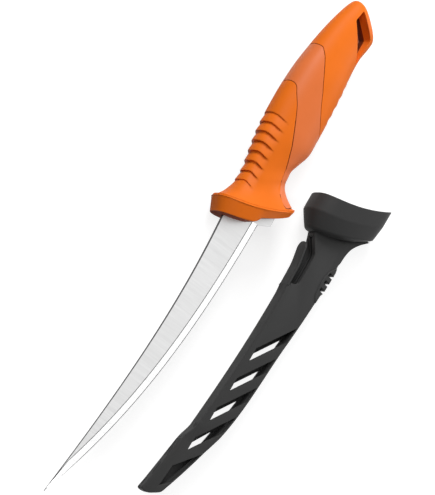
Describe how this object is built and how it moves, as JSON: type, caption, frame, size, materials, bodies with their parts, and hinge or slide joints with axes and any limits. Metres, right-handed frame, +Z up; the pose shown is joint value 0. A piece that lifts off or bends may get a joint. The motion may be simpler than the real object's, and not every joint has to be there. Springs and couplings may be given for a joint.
{
  "type": "fillet knife with sheath",
  "caption": "Slim curved fillet knife with a two-tone ribbed grip and hooded guard, lying beside its slotted moulded sheath.",
  "frame": {"origin": "middle of the pair's bounding box in X and Y, on the surface that the guard and the cup lie on", "axes": "+X from the blade's tip to the butt, +Y from the cutting edge to the spine, +Z up from the table through the blade's flat"},
  "size_m": [0.3274, 0.0974, 0.029],
  "materials": {
    "steel": "fine satin, brighter along the ground bevel",
    "grip_orange": "soft satin moulded grip",
    "core_orange": "satin moulded plastic, a little paler than the grips",
    "sheath_black": "fine-grained black moulded plastic"
  },
  "bodies": {
    "knife": {"blade": "steel", "handle_core": "core_orange", "front_grip": "grip_orange", "rear_grip": "grip_orange"},
    "sheath": {"sheath_cup": "sheath_black", "sheath_front_shell": "sheath_black", "sheath_back_shell": "sheath_black"},
    "tongue": {"spring_tongue": "sheath_black"}
  },
  "joints": [
    {"name": "sheath_draw", "type": "slide", "parent": "knife", "child": "sheath", "axis": [-1, 0, 0], "range_m": [0, 0.2]},
    {"name": "tongue_flex", "type": "hinge", "parent": "sheath", "child": "tongue", "pos_m": [0.00506, -0.01465, 0.0145], "axis": [0, 0, 1], "range_deg": [0, 6], "stiffness_Nm_per_rad": 0.4}
  ]
}
